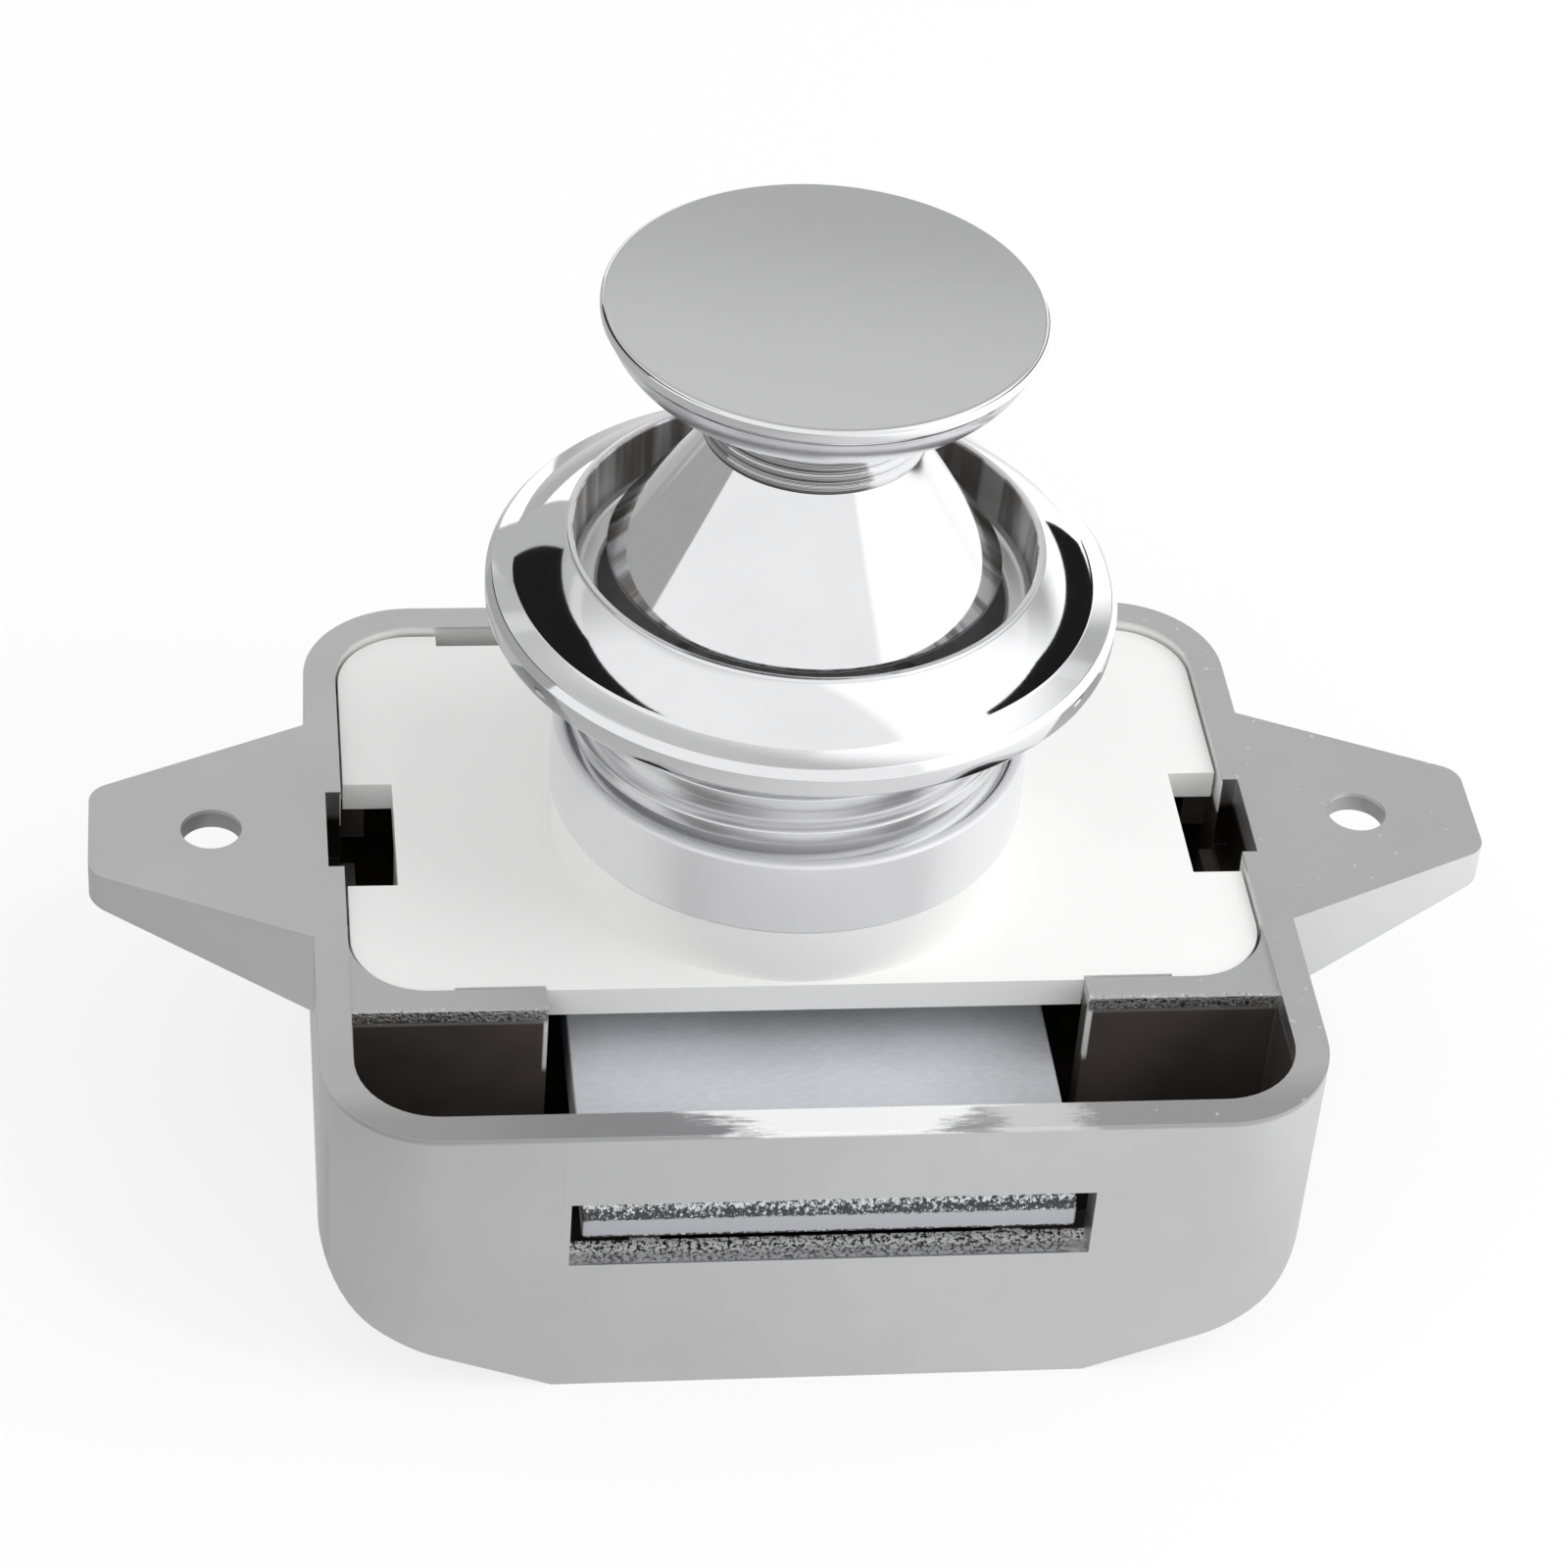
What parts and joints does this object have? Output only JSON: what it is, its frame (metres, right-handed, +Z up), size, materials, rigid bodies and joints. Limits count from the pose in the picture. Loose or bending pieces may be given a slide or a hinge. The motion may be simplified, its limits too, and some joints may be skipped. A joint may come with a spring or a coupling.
{
  "type": "pushbutton cabinet lock",
  "caption": "Push-to-lock cabinet latch: chromed knob in a screw-on rosette over a shallow eared case, whose slotted bolt slides out when the knob is pressed.",
  "frame": {"origin": "middle of the footprint, on the flat base of the case", "axes": "+X along the screw ears, -Y the side the bolt leaves by, +Z up along the knob"},
  "size_m": [0.0768, 0.0446, 0.052],
  "materials": {
    "satin_chrome": "satin-chromed die casting",
    "white_plastic": "glossy white moulding",
    "sleeve_chrome": "polished chrome",
    "rosette_chrome": "polished chrome",
    "knob_chrome": "polished chrome with a satin top face",
    "slider_plastic": "unpainted moulding",
    "screw_steel": "zinc-plated",
    "spring_steel": "drawn spring wire",
    "bolt_zinc": "plated die casting, rough at its sheared edges",
    "wire_steel": "drawn wire"
  },
  "bodies": {
    "housing": {"case": "satin_chrome", "cover_plate": "white_plastic", "neck_sleeve": "sleeve_chrome", "return_spring": "spring_steel"},
    "knob": {"push_knob": "knob_chrome", "plunger": "slider_plastic", "knob_screw": "screw_steel"},
    "bolt": {"latch_bolt": "bolt_zinc"},
    "rosette": {"rosette": "rosette_chrome"},
    "detent": {"detent_wire": "wire_steel"}
  },
  "joints": [
    {"name": "button_press", "type": "slide", "parent": "housing", "child": "knob", "axis": [0, 0, 1], "range_m": [-0.0136, 0], "stiffness_N_per_m": 250, "springref_m": 0.012, "deforming": ["return_spring"]},
    {"name": "latch_slide", "type": "slide", "parent": "housing", "child": "bolt", "axis": [0, 1, 0], "range_m": [-0.0068, 0]},
    {"name": "rosette_turn", "type": "hinge", "parent": "housing", "child": "rosette", "pos_m": [-0.0006, 0.00265, 0.035], "axis": [0, 0, 1], "continuous": true},
    {"name": "detent_swing", "type": "hinge", "parent": "housing", "child": "detent", "pos_m": [-0.0016, 0.012, 0.0046], "axis": [0, 1, 0], "range_deg": [0, 9]}
  ],
  "couplings": [
    {"joint": "latch_slide", "follows": "button_press", "ratio": 0.5}
  ]
}
